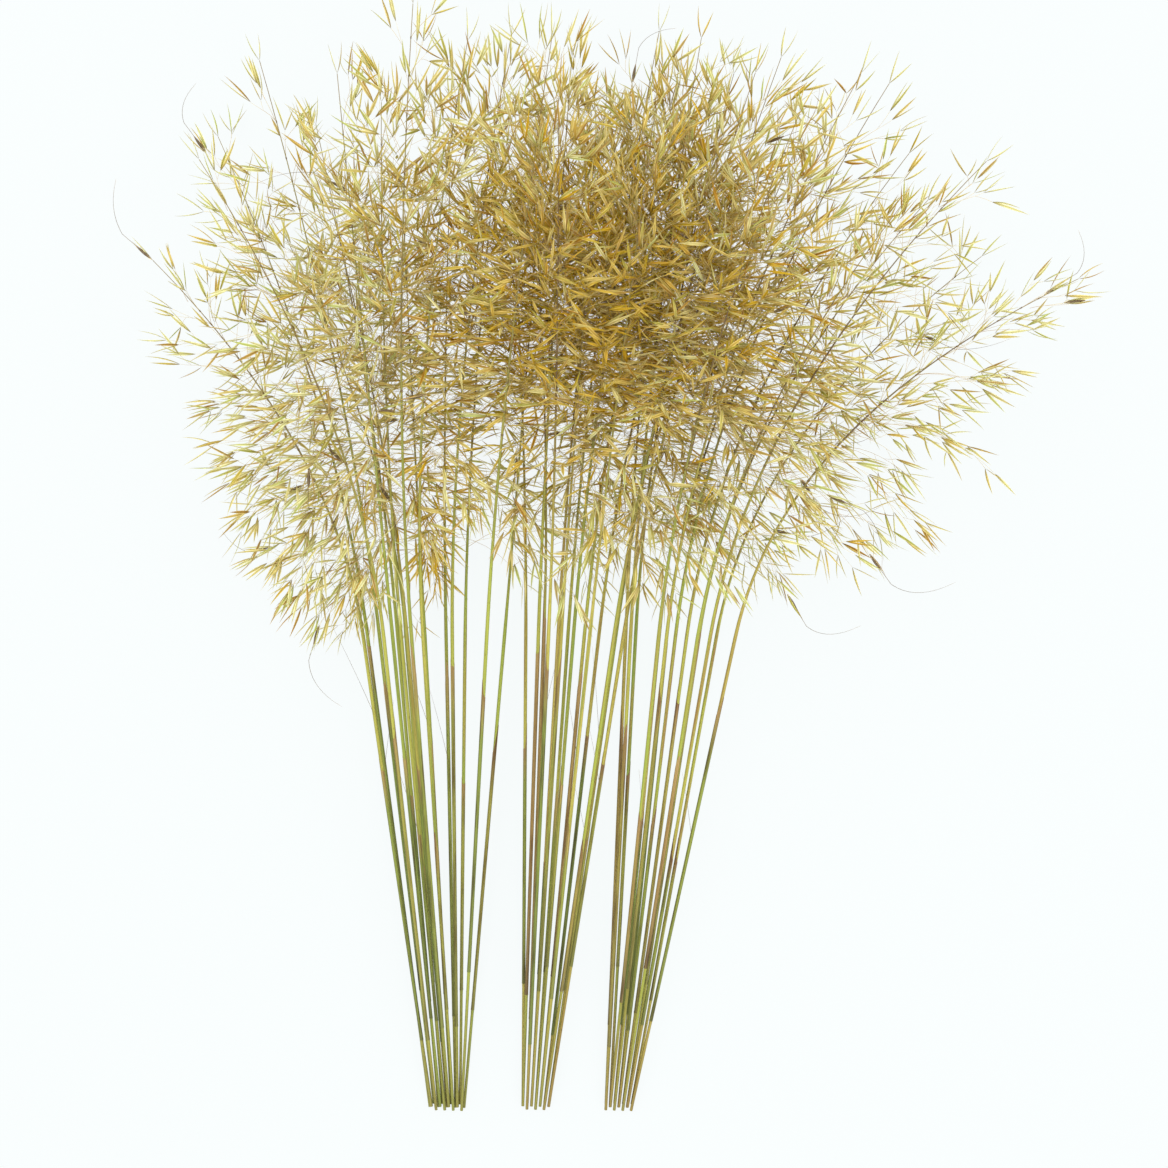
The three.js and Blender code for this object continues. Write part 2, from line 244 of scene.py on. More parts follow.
# Few florets are still held, each a dark spindle with a long bent awn. At each spot of x and y, one is
# seen against the surface
CLOSED_SHARE = 0.05
FLORET_SPOTS = [(-436, 323), (436, 255), (275, 5), (147, -25), (-309, -54)]
FLORETS_PER_STEM = 1
FLORET_LENGTH = 21.0
FLORET_RADIUS = 1.55
FLORET_RINGS = 7
FLORET_SIDES = 6
FLORET_FULLNESS = 0.7
FLORET_ENDS = (0.05, 0.95)
FLORET_TURN = 0.1
AWN_COLUMN = 17.0
AWN_COLUMN_RINGS = 4
AWN_KNEE = (0.7, 1.6)
AWN_LIFT = (-0.2, 0.4)
AWN_BOW = (1.4, 0.5)
AWN_BRISTLE = (38.0, 62.0)
AWN_RADIUS = (0.26, 0.12)
AWN_RINGS = 10
AWN_TRIES = 12
TUFT_HAIRS = 9
TUFT_ROOT = (0.5, 2.5)
TUFT_SPREAD = (0.2, 0.7)
TUFT_LENGTH = (3.5, 6.0)
TUFT_RADII = (0.09, 0.07, 0.04)

# Some shed awns are caught between the bare culms
CAUGHT_SHARE = 0.3
CAUGHT_Y = (-330.0, -130.0)
CAUGHT_LENGTH = (55.0, 95.0)
CAUGHT_ANGLE = (7.0, 20.0)
CAUGHT_RADIUS = (0.24, 0.1)
CAUGHT_BOW = 8.0
CAUGHT_RISE = 6.0

# How far outside the frame's box a fine piece may reach, across, along and up
PROUD = np.array([16.0, 16.0, 4.0])
FLOOR_GAP = 0.15


# Small helpers for numbers and directions

def mix(pair, share):
    return pair[0] + (pair[1] - pair[0]) * share


def length_of(vector):
    return math.sqrt(vector @ vector)


def unit(vectors):
    return vectors / np.linalg.norm(vectors, axis=-1, keepdims=True)


def seeded_random(state):
    def draw():
        nonlocal state
        state = state * LEHMER_FACTOR % LEHMER_PRIME
        return state / LEHMER_PRIME

    return draw


def across_axes(direction):
    side = unit(np.cross(direction, FORWARD if abs(direction[2]) > STEEP else UP))
    return side, np.cross(side, direction)


def right_of(direction):
    return np.array([direction[1], -direction[0], 0.0])


def direction_at(axes, angle):
    return axes[0] * math.cos(angle) + axes[1] * math.sin(angle)


def branch_off(forward, angle, azimuth, flattened=1.0):
    """A direction that leaves another at an angle, to the side that the azimuth says, in degrees."""
    outward = direction_at(across_axes(forward), math.radians(azimuth))
    outward[2] *= flattened
    return unit(direction_at((forward, outward), math.radians(angle)))


def drooping(heading, droop):
    return unit(heading - FORWARD * droop)


def across_angle(sides, start_angle):
    """Where the first glume opens from a ring: opposite its second corner."""
    return start_angle + 2 * math.pi / sides + math.pi


def stay_above(direction, start, length, height):
    """Turns a direction up if a straight piece of this length would end below the height."""
    direction[2] = max(direction[2], (height - start[2]) / length)


def end_of(start, direction, length, height):
    stay_above(direction, start, length, height)
    return start + direction * length


def glume_tips(fork, facing, across, opening, lengths, height):
    """Tips of two glumes, which open to both sides by an angle in degrees."""
    return [
        end_of(fork, direction_at((facing, across), math.radians(angle)), length, height)
        for angle, length in zip((opening, -opening), lengths)
    ]


# The path of a culm

def culm_points(stem, shares):
    shares = np.atleast_1d(shares)[:, None]
    straight = stem.foot + (stem.neck - stem.foot) * (shares / stem.neck_share)
    along = (shares - stem.neck_share) / (1 - stem.neck_share)
    bent = stem.neck * (1 - along) ** 2 + stem.bend * (2 * along * (1 - along)) + stem.tip * along ** 2
    points = np.where(shares < stem.neck_share, straight, bent)
    rise = np.maximum(0, (points[:, 1] - stem.rise_y) / (RISE_END_Y - stem.rise_y))
    points[:, 2] = stem.foot_z + (stem.level - stem.foot_z) * rise * (1 + SAG - SAG * rise)
    return points


def culm_direction(stem, share):
    ends = culm_points(stem, np.clip([share - DIRECTION_STEP, share + DIRECTION_STEP], 0, 1))
    return unit(ends[1] - ends[0])


def culm_radii(stem, shares):
    places = [stem.lying_share, stem.neck_share, stem.head_start, 1]
    return np.interp(shares, places, [FOOT_RADIUS, NECK_RADIUS, HEAD_RADIUS, TOP_RADIUS])


def ring_shares(stem):
    third = (TOP_SHARE - stem.neck_share) / 3
    return [0, stem.lying_share, stem.neck_share, stem.neck_share + third, TOP_SHARE - third, TOP_SHARE]


def axis_point(stem, share):
    shares = ring_shares(stem)
    ring = next(index for index in range(len(shares) - 1) if share <= shares[index + 1])
    start, end = culm_points(stem, np.array(shares[ring:ring + 2]))
    return start + (end - start) * ((share - shares[ring]) / (shares[ring + 1] - shares[ring]))


# Round bars placed so far, against which a new one is tried

class Bars:
    def __init__(self):
        self.starts = np.zeros((0, 3))
        self.ends = np.zeros((0, 3))
        self.radii = np.zeros(0)
        self.owners = np.zeros(0, int)

    def add(self, bars, owner=-1):
        starts, ends, radii = zip(*bars)
        self.starts = np.concatenate([self.starts, starts])
        self.ends = np.concatenate([self.ends, ends])
        self.radii = np.append(self.radii, radii)
        self.owners = np.append(self.owners, [owner] * len(bars))

    def are_clear(self, bars, owner):
        other = self.owners != owner
        starts, ends, radii = self.starts[other], self.ends[other], self.radii[other]
        return all(
            np.all(distances(start, end, starts, ends) >= radius + radii + CLEARANCE)
            for start, end, radius in bars
        )


def distances(start, end, starts, ends):
    """Least distance of a straight piece from each of several others."""
    first = end - start
    second = ends - starts
    apart = start - starts
    first_square = first @ first
    second_square = (second * second).sum(1)
    along_first = apart @ first
    along_second = (second * apart).sum(1)
    cross = second @ first
    spread = first_square * second_square - cross * cross
    on_first = (cross * along_second - along_first * second_square) / np.maximum(spread, PARALLEL)
    on_first = np.where(spread > PARALLEL, np.clip(on_first, 0, 1), 0)
    on_second = (cross * on_first + along_second) / second_square
    on_first = np.where(on_second < 0, np.clip(-along_first / first_square, 0, 1), on_first)
    on_first = np.where(on_second > 1, np.clip((cross - along_first) / first_square, 0, 1), on_first)
    on_second = np.clip(on_second, 0, 1)
    gaps = apart + first * on_first[:, None] - second * on_second[:, None]
    return np.linalg.norm(gaps, axis=1)


# The frame's rule: stems first, then the topmost spikelets, then the main branches

def lay_stem(number, bunch, foot_x, places, index, bars):
    neck_x, tip_x, tip_y = places[index]
    random = seeded_random(FIRST_SEED + SEED_STEP * number)
    random()
    row = index % 2
    slot = index // 2
    slots = math.ceil((len(places) - row) / 2)
    neck = np.array([neck_x, NECK_Y, 0.0])
    planned = np.array([foot_x + (slot - (slots - 1) / 2) * FOOT_PITCH, CUT_Y, 0.0])
    longer = CUT_SPREAD * (random() - 0.5) / (NECK_Y - CUT_Y)
    foot = planned - (neck - planned) * longer
    tip = np.array([tip_x, tip_y, 0.0])
    lower = length_of(neck - foot)
    upper = length_of(tip - neck)
    neck_share = lower / (lower + upper)
    stem = SimpleNamespace(
        number=number, bunch=bunch, name=f"{bunch}_{index + 1:02d}", random=random,
        foot=foot, neck=neck, tip=tip,
        bend=neck + (neck - foot) * (FREE_BEND * upper / lower), neck_share=neck_share,
        lying_share=(CUT_Y + LYING_LENGTH - foot[1]) / (NECK_Y - foot[1]) * neck_share,
        head_start=mix(HEAD_START, random()), foot_z=FOOT_RADIUS * FLAT_SHARE + row * ROW_PITCH,
        rise_y=CUT_Y + (LYING_LENGTH if row == 0 else CUT_SPREAD / 2), length=lower + upper,
    )
    levels = LEVELS_OF_ROW[row]
    level = LOWEST_LEVEL + LEVEL_STEP * levels[slot % len(levels)]
    for attempt in range(LIFT_TRIES):
        stem.level = level + LIFT_STEP * attempt
        shares = np.array(ring_shares(stem))
        points = culm_points(stem, shares)
        radii = HALF_HEIGHT_SHARE * culm_radii(stem, shares)
        culm = list(zip(points[:-1], points[1:], radii[:-1]))
        if bars.are_clear(culm, number):
            break
    bars.add(culm, number)
    return stem


def open_spikelet(fork, facing, across, random):
    opening = mix(OPENING, random())
    lengths = [mix(GLUME_LENGTH, random()) for _ in range(2)]
    return glume_tips(fork, facing, across, opening, lengths, 0)


def open_top(stem, bars):
    stem.turn = FULL_TURN * stem.random()
    fork = culm_points(stem, TOP_SHARE)[0]
    facing = culm_direction(stem, TOP_SHARE)
    across = direction_at((unit(right_of(facing)), UP), across_angle(CULM_SIDES, TOP_CORNER))
    tips = open_spikelet(fork, facing, across, stem.random)
    bars.add([(fork, tip, GLUME_RADIUS) for tip in tips], stem.number)
    stem.top = SimpleNamespace(fork=fork, facing=facing, across=across, tips=tips)


def grow_branch(stem, index, bars):
    random = stem.random
    height = (index + mix(PLACE_SPREAD, random())) / BRANCHES
    share = mix((stem.head_start, HEAD_END), height)
    full_length = mix(BRANCH_LENGTH, height) * mix(LENGTH_SPREAD, random())
    angle = mix(BRANCH_ANGLE, height) + mix(ANGLE_SPREAD, random())
    azimuth = stem.turn + GOLDEN_ANGLE * index + mix(TURN_SPREAD, random())
    roll = math.pi * random()
    spikelet_seed = 1 + math.floor(SEED_RANGE * random())
    root = axis_point(stem, share)
    forward = culm_direction(stem, share)
    for attempt in range(TURN_TRIES):
        turned = TURN_STEP * math.ceil(attempt / 2) * (-1 if attempt % 2 == 0 else 1)
        length = full_length * (1 - SHORTENED * attempt)
        heading = branch_off(forward, angle, azimuth + turned, FLATTENED)
        heading[1] -= mix(BRANCH_DROOP, height)
        fork = end_of(root, heading, length, LOWEST_FORK)
        facing = drooping(heading, mix(SPIKELET_DROOP, height))
        start_angle = 0 if fork[2] < GLUME_LENGTH[1] else roll
        across = direction_at(across_axes(facing), across_angle(BRANCH_SIDES, start_angle))
        tips = open_spikelet(fork, facing, across, seeded_random(spikelet_seed))
        tried = [(root, fork, CALLUS_RADIUS)] + [(fork, tip, GLUME_RADIUS) for tip in tips]
        if bars.are_clear(tried, stem.number):
            bars.add(tried)
            return SimpleNamespace(
                root=root, height=height, forward=forward,
                fork=fork, facing=facing, across=across, tips=tips,
            )
    return None


def lay_bundle():
    bars = Bars()
    stems = []
    for bunch, foot_x, places in BUNCHES:
        for index in range(len(places)):
            stems.append(lay_stem(len(stems), bunch, foot_x, places, index, bars))
    for stem in stems:
        open_top(stem, bars)
    for stem in stems:
        grown = [grow_branch(stem, index, bars) for index in range(BRANCHES)]
        stem.branches = [branch for branch in grown if branch]
    return stems


# Lofted shapes, gathered into one mesh with what the materials read at each corner

class Shape:
    def __init__(self):
        self.points = []
        self.grain = []
        self.values = {"along": [], "tone": [], "shade": []}
        self.faces = []
        self.count = 0

    def add_points(self, points, grain, values):
        self.points.append(points.reshape(-1, 3))
        self.grain.append(grain.reshape(-1, 3))
        for kept, value in zip(self.values.values(), values):
            kept.append(value.reshape(-1))
        first = self.count
        self.count += len(self.points[-1])
        return np.arange(first, self.count).reshape(points.shape[:-1])

    def add_faces(self, faces, material):
        self.faces.append((faces.reshape(-1, faces.shape[-1]), material))

    def loft(self, rings, grain, values, material, start=None, end=None, closed=False):
        """rings is (shapes, rings, corners, 3), with corners counter-clockwise seen from the far end.
        grain, and the along, tone and shade in values, are spread over all corners."""
        grain = np.broadcast_to(grain, rings.shape)
        values = [np.broadcast_to(value, rings.shape[:3]) for value in values]
        corners = self.add_points(rings, grain, values)
        after = np.roll(corners, -1, axis=2)
        further = np.roll(corners, -1, axis=1)
        quads = np.stack([corners, after, np.roll(after, -1, axis=1), further], axis=-1)
        self.add_faces(quads if closed else quads[:, :-1], material)
        if closed:
            return
        at_start = [value[:, 0, 0] for value in values]
        at_end = [np.ones(len(rings))] + [value[:, -1, 0] for value in values[1:]]
        self.close(corners[:, 0], start, grain[:, 0, 0], at_start, material, False)
        self.close(corners[:, -1], end, grain[:, -1, 0], at_end, material, True)

    def close(self, ring, tip, grain, values, material, is_end):
        """Closes an end of each loft with a fan to its tip, or with a flat face if it has none."""
        if tip is None:
            self.add_faces(ring if is_end else ring[:, ::-1], material)
            return
        tips = np.broadcast_to(self.add_points(tip, grain, values)[:, None], ring.shape)
        after = np.roll(ring, -1, axis=1)
        self.add_faces(np.stack([ring, after, tips] if is_end else [ring, tips, after], axis=-1), material)

    def make(self, name, materials):
        # Triangles first, then the faces with more corners
        groups = sorted(self.faces, key=lambda group: group[0].shape[1])
        faces = [face for group, _ in groups for face in group.tolist()]
        indices = [material for group, material in groups for _ in group]
        mesh = bpy.data.meshes.new(name)
        mesh.from_pydata(np.concatenate(self.points) * MM, [], faces, shade_flat=False)
        mesh.polygons.foreach_set("material_index", indices)
        for material in materials:
            mesh.materials.append(material)
        grain = mesh.attributes.new("grain", "FLOAT_VECTOR", "POINT")
        grain.data.foreach_set("vector", np.concatenate(self.grain).astype(np.float32).ravel())
        for key, kept in self.values.items():
            attribute = mesh.attributes.new(key, "FLOAT", "POINT")
            attribute.data.foreach_set("value", np.concatenate(kept).astype(np.float32))
        mesh.update()
        mesh.set_sharp_from_angle(angle=math.radians(SHARP_FROM))
        mesh.validate()
        return add_object(name, mesh)


def add_object(name, data):
    added = bpy.data.objects.new(name, data)
    bpy.context.scene.collection.objects.link(added)
    return added


def path_axes(paths):
    """Two directions across the travel along paths of (shapes, rings, 3)."""
    travel = unit(np.gradient(paths, axis=1))
    steep = np.abs(travel[:, :, 2]).mean(axis=1) > STEEP
    side = unit(np.cross(travel, np.where(steep[:, None], FORWARD, UP)[:, None]))
    return side, np.cross(travel, side)


def directions_around(axes, sides):
    """Angles around a path, and the directions there, from two directions across it."""
    angles = 2 * math.pi * np.arange(sides) / sides
    side, up = (axis[..., None, :] for axis in axes)
    return angles, side * np.cos(angles)[:, None] + up * np.sin(angles)[:, None]


def raise_to(points, height):
    points[..., 2] = np.maximum(points[..., 2], height)


def path_lengths(paths):
    steps = np.linalg.norm(np.diff(paths, axis=1), axis=2)
    return np.pad(np.cumsum(steps, axis=1), ((0, 0), (1, 0)))


def grain_of(across, up, along):
    """What the noise of a material reads: places across a shape, and the length along it."""
    return np.stack(np.broadcast_arrays(across, up, along), axis=-1)


def add_tubes(
        shape, paths, radii, material, sides=HAIR_SIDES, tone=0.5, shade=0.5,
        along=None, offset=0.0, pointed=False, axes=None,
):
    """Round tubes along paths of (shapes, rings, 3), with a radius for each ring."""
    angles, across = directions_around(axes or path_axes(paths), sides)
    radii = np.broadcast_to(radii, paths.shape[:2])[:, :, None]
    rings = paths[:, :, None] + across * radii[..., None]
    lengths = path_lengths(paths)
    if along is None:
        along = lengths / lengths[:, -1:]
    grain = grain_of(np.cos(angles) * radii + offset, np.sin(angles) * radii, lengths[:, :, None])
    values = along[:, :, None], tone, np.reshape(shade, (-1, 1, 1))
    end = None
    if pointed:
        end = paths[:, -1] + (paths[:, -1] - paths[:, -2]) * POINT_SHARE
        raise_to(end, FLOOR_GAP)
    shape.loft(rings, grain, values, material, end=end)


# Fine head

def bezier(ends, shares):
    """Points at some shares of a curve with two ends and the one or two points between that draw it."""
    points = np.repeat(np.array(ends)[:, None], len(shares), axis=1)
    while len(points) > 1:
        points = points[:-1] + (points[1:] - points[:-1]) * shares[:, None]
    return points[0]


def branch_curve(branch):
    """From the rachis at a narrow angle, then outward, and to the spikelet in its own direction."""
    length = length_of(branch.fork - branch.root)
    heading = (branch.fork - branch.root) / length
    leaves = branch.root + unit(branch.forward * BRANCH_UPRIGHT + heading) * (length * BRANCH_LEAVES)
    arrives = branch.fork - branch.facing * (length * BRANCH_ARRIVES)
    points = np.array([branch.root, leaves, arrives, branch.fork])
    raise_to(points[1:3], LOWEST_FORK)
    return points


def is_inside(point):
    low = np.array(cad_low) / MM - PROUD
    high = np.array(cad_high) / MM + PROUD
    return np.all(point[:2] >= low[:2]) and np.all(point <= high)


def fine_spikelet(root, heading, length, height, rng, hanging=0.0):
    """A spikelet at the end of a straight piece. A low one opens level, and any other to a random side."""
    fork = end_of(root, heading, length, LOWEST_FORK)
    droop = mix(FINE_SPIKELET_DROOP, height) * rng.uniform(*SPIKELET_DROOP_SPREAD) + hanging
    facing = drooping(heading, droop)
    angle = 0.0 if fork[2] < GLUME_LENGTH[1] else rng.uniform(0, math.pi)
    across = direction_at(across_axes(facing), angle)
    opening = rng.uniform(*FINE_OPENING)
    tips = glume_tips(fork, facing, across, opening, rng.uniform(*FINE_GLUME_LENGTH, 2), FLOOR_GAP)
    return SimpleNamespace(fork=fork, facing=facing, across=across, tips=tips)


def fine_branch(stem, start, height, azimuth, rng, hanging=0.0, lean=0.0):
    share = mix((start, HEAD_END), height)
    length = mix(FINE_BRANCH_LENGTH, 0 if hanging else height) * rng.uniform(*FINE_LENGTH_SPREAD)
    angle = mix(FINE_BRANCH_ANGLE, height) + rng.uniform(*FINE_ANGLE_SPREAD)
    root = culm_points(stem, share)[0]
    forward = culm_direction(stem, share)
    heading = branch_off(forward, angle, azimuth, FLATTENED)
    heading[0] += lean
    heading[1] -= mix(FINE_BRANCH_DROOP, height) * rng.uniform(*BRANCH_DROOP_SPREAD) + hanging
    spikelet = fine_spikelet(root, heading, length, height, rng, hanging)
    return SimpleNamespace(root=root, height=height, forward=forward, **vars(spikelet))


def has_room(spikelet):
    lowest = np.interp(spikelet.fork[0], LOWEST_X, LOWEST_Y)
    return spikelet.fork[1] > lowest and all(is_inside(tip) for tip in spikelet.tips)


def fine_branches(stem, rng):
    """The main branches, whorls of finer ones, and a few that hang below the head."""
    branches = list(stem.branches)
    start = rng.uniform(*FINE_HEAD_START)
    fullness, lean = (np.interp(stem.tip[0], FULL_TIPS, row) for row in (FULL_SHARES, FULL_LEANS))
    knots = []
    for whorl in range(WHORLS):
        height = (whorl + rng.uniform(*WHORL_PLACE)) / WHORLS
        leaning = height ** lean
        most = WHORL_BRANCHES * fullness * 4 * leaning * (1 - leaning)
        count = int(most + rng.uniform(0, 1))
        first = rng.uniform(0, FULL_TURN)
        for index in range(count):
            azimuth = first + FULL_TURN * index / count + rng.uniform(*TURN_SPREAD)
            branches.append(fine_branch(stem, start, height, azimuth, rng))
        if count > 0:
            knots.append(mix((start, HEAD_END), height))
    count, side, lift = (
        np.interp(stem.neck[0], HANGING_NECKS, row)
        for row in (HANGING_BRANCHES, HANGING_LEANS, HANGING_LIFTS)
    )
    for _ in range(round(count)):
        height = rng.uniform(*HANGING_HEIGHT) + lift
        azimuth = rng.uniform(0, FULL_TURN)
        branches.append(fine_branch(stem, stem.head_start, height, azimuth, rng, HANGING_DROOP, side))
    return branches, np.array(knots)


def spikelet_on(branch, curve, place, azimuth, rng):
    """A spikelet beside a branch, and the path of the pedicel that bears it."""
    root, ahead = bezier(curve, np.array([place, place + DIRECTION_STEP]))
    travel = unit(ahead - root)
    heading = branch_off(travel, rng.uniform(*PEDICEL_ANGLE), azimuth)
    length = mix(PEDICEL_LENGTH, place) * rng.uniform(*PEDICEL_SPREAD)
    spikelet = fine_spikelet(root, heading, length, branch.height, rng)
    middle = root + heading * (length / 2) + travel * (length * PEDICEL_BOW)
    pedicel = bezier([root, middle, spikelet.fork], np.linspace(0, 1, PEDICEL_RINGS))
    return spikelet, pedicel


def grow_fine_head(stem, rng):
    """Paths of all branches of a head, all spikelets with their pedicels, and where the whorls are."""
    branches, knots = fine_branches(stem, rng)
    paths = []
    pedicels = []
    spikelets = [stem.top]
    for branch in branches:
        curve = branch_curve(branch)
        if not has_room(branch) or not all(is_inside(point) for point in curve):
            continue
        paths.append(bezier(curve, np.linspace(0, 1, BRANCH_RINGS)))
        spikelets.append(branch)
        bearing = length_of(branch.fork - branch.root) * (LAST_SPIKELET - FIRST_SPIKELET)
        count = int(bearing / SPIKELET_EVERY + rng.uniform(*SPIKELET_ROUNDING))
        turn = rng.uniform(0, FULL_TURN)
        for index in range(count):
            place = mix((FIRST_SPIKELET, LAST_SPIKELET), (index + rng.uniform(0, 1)) / count)
            spikelet, pedicel = spikelet_on(branch, curve, place, turn + GOLDEN_ANGLE * index, rng)
            if has_room(spikelet):
                pedicels.append(pedicel)
                spikelets.append(spikelet)
    return SimpleNamespace(
        branches=np.array(paths), pedicels=np.array(pedicels), spikelets=spikelets, knots=knots,
    )


def add_glumes(shape, spikelets, tones, rng):
    """Two thin keeled blades for each spikelet, which open to both sides with their keels outward."""
    forks = np.repeat([spikelet.fork for spikelet in spikelets], 2, axis=0)
    tips = np.array([tip for spikelet in spikelets for tip in spikelet.tips])
    across = np.repeat([spikelet.across for spikelet in spikelets], 2, axis=0)
    tones = np.repeat(tones, 2)
    count = len(forks)
    outward = across * np.tile([1.0, -1.0], len(spikelets))[:, None]
    lengths = np.linalg.norm(tips - forks, axis=1)
    travel = (tips - forks) / lengths[:, None]
    outward = unit(outward - travel * (outward * travel).sum(1)[:, None])
    side = np.cross(outward, travel)
    roll = np.radians(rng.uniform(-BLADE_ROLL, BLADE_ROLL, count))[:, None]
    side, outward = (
        side * np.cos(roll) + outward * np.sin(roll),
        outward * np.cos(roll) - side * np.sin(roll),
    )
    half = rng.uniform(*BLADE_HALF_WIDTH, count)[:, None] * BLADE_WIDTHS
    curve = (rng.uniform(*BLADE_CURVE, count) * lengths)[:, None] * BLADE_STOPS * (1 - BLADE_STOPS) * 4
    reached = (lengths[:, None] * BLADE_STOPS)[:, :, None]
    middle = forks[:, None] + travel[:, None] * reached + outward[:, None] * curve[:, :, None]
    keel = half * KEEL_SHARE
    level = np.zeros_like(half)
    sideways = np.stack([half, level, -half, level], axis=-1)
    raised = np.stack([level, keel, level, keel - BLADE_THICKNESS * BLADE_WIDTHS], axis=-1)
    rings = middle[:, :, None] + side[:, None, None] * sideways[..., None]
    rings += outward[:, None, None] * raised[..., None]
    lift = np.maximum(0, FLOOR_GAP - rings[..., 2].min(axis=(1, 2)))
    rings[..., 2] += lift[:, None, None]
    tips[:, 2] += lift
    offsets = rng.uniform(0, GLUME_OFFSET, count)[:, None, None]
    grain = grain_of(sideways, raised + offsets, reached)
    values = BLADE_STOPS[:, None], tones[:, None, None], rng.uniform(0, 1, count)[:, None, None]
    shape.loft(rings, grain, values, GLUME, start=forks, end=tips)


def bent_awn(start, travel, rng):
    """Path of an awn's straight column and of the bristle that bends from it to one side."""
    knee = start + travel * AWN_COLUMN
    for _ in range(AWN_TRIES):
        side = unit(right_of(travel) * rng.choice([-1, 1]) + UP * rng.uniform(*AWN_LIFT))
        bristle = rng.uniform(*AWN_BRISTLE)
        end = knee + unit(travel + side * rng.uniform(*AWN_KNEE)) * bristle
        raise_to(end, FLOOR_GAP)
        if is_inside(end):
            bow = knee + unit(travel * AWN_BOW[0] + side * AWN_BOW[1]) * (bristle / 2)
            column = np.linspace(start - travel, knee, AWN_COLUMN_RINGS)[:-1]
            bristle_path = bezier([knee, bow, end], np.linspace(0, 1, AWN_RINGS))
            awn = np.concatenate([column, bristle_path])
            raise_to(awn, 2 * FLOOR_GAP)
            return awn
    return None


def add_floret(shape, spikelet, rng):
    """A dark spindle between the two glumes, with a tuft of pale hairs and a long bent awn."""
    travel = unit(spikelet.facing + spikelet.across * rng.uniform(-FLORET_TURN, FLORET_TURN))
    stay_above(travel, spikelet.fork, AWN_COLUMN + FLORET_LENGTH, FLORET_RADIUS)
    places = np.linspace(0, 1, FLORET_RINGS + 1)[1:]
    path = spikelet.fork + travel * (places * FLORET_LENGTH)[:, None]
    radii = FLORET_RADIUS * np.sin(np.clip(places, *FLORET_ENDS) * math.pi) ** FLORET_FULLNESS
    add_tubes(shape, path[None], radii, FLORET, FLORET_SIDES, shade=rng.uniform(0, 1))
    hairs = []
    for _ in range(TUFT_HAIRS):
        outward = direction_at(across_axes(travel), rng.uniform(0, 2 * math.pi))
        root = spikelet.fork + travel * rng.uniform(*TUFT_ROOT) + outward * (FLORET_RADIUS / 2)
        reach = (travel + outward * rng.uniform(*TUFT_SPREAD)) * rng.uniform(*TUFT_LENGTH)
        hairs.append(np.linspace(root, root + reach, len(TUFT_RADII)))
    hairs = np.array(hairs)
    raise_to(hairs, 2 * FLOOR_GAP)
    add_tubes(shape, hairs, TUFT_RADII, HAIR, pointed=True)
    awn = bent_awn(path[-1], travel, rng)
    if awn is not None:
        at_knee = AWN_COLUMN_RINGS / len(awn)
        radii = np.interp(np.linspace(0, 1, len(awn)), [at_knee, 1], AWN_RADIUS)
        add_tubes(shape, awn[None], radii, FLORET, pointed=True)


# Fine culm. The wall of the hollow at the cut is marked by a place along the culm below nought

def share_at(stem, y):
    """Share of the lower culm's length at which it passes a y below the neck."""
    return (y - stem.foot[1]) / (NECK_Y - stem.foot[1]) * stem.neck_share


def sheath_radii(stem, shares):
    """Outer radius with the sheath, from that of the solid's flats at the cut ends to nearly round."""
    rounder = np.interp(shares, [stem.lying_share, stem.neck_share], [FLAT_SHARE, ROUND_SHARE])
    from_joint = (shares - stem.joint_share) * stem.length / JOINT_HALF_LENGTH
    return culm_radii(stem, shares) * rounder * (1 + JOINT_SWELLING * np.exp(-from_joint ** 2))


def bare_radii(stem, shares):
    """Radius of the culm inside its sheath, and of the rachis that thins to the topmost spikelet."""
    radii = sheath_radii(stem, shares) - SHEATH_THICKNESS
    in_head = np.clip((shares - stem.head_start) / (TOP_SHARE - stem.head_start), 0, 1)
    return radii + (BARE_TOP_RADIUS - radii) * in_head ** BARE_TAPER


def add_culm(shape, stem):
    """A culm with a hollow at the cut and a joint, and the rachis that goes on from it."""
    shares = np.sort(np.concatenate([
        np.linspace(0, stem.neck_share, LOWER_RINGS, endpoint=False),
        stem.joint_share + JOINT_PLACES * JOINT_HALF_LENGTH / stem.length,
        np.linspace(stem.neck_share, TOP_SHARE, UPPER_RINGS),
    ]))
    radii = bare_radii(stem, shares)
    points = culm_points(stem, shares)
    axes = [np.pad(axis, ((0, 0), (2, 0), (0, 0)), "edge") for axis in path_axes(points[None])]
    bottom = culm_points(stem, HOLLOW_DEPTH / stem.length)
    points = np.concatenate([bottom, points[:1], points])
    radii = np.concatenate([[radii[0] * HOLLOW_SHARE] * 2, radii])
    along = np.concatenate([[PITH_ALONG] * 2, shares])
    add_tubes(
        shape, points[None], radii, CULM, ROUND_SIDES, stem.tone, stem.shade,
        along=along[None], offset=stem.offset, axes=axes,
    )


def add_knots(shape, stem, shares):
    """A small dark knot on the rachis at each whorl."""
    places = shares[:, None] + KNOT_PLACES * (KNOT_HALF_LENGTH / stem.length)
    paths = culm_points(stem, places.ravel()).reshape(*places.shape, 3)
    along = np.full(places.shape, KNOT_ALONG)
    radii = bare_radii(stem, places) + KNOT_SWELLING
    add_tubes(shape, paths, radii, CULM, FLORET_SIDES, stem.tone, shade=1.0, along=along)


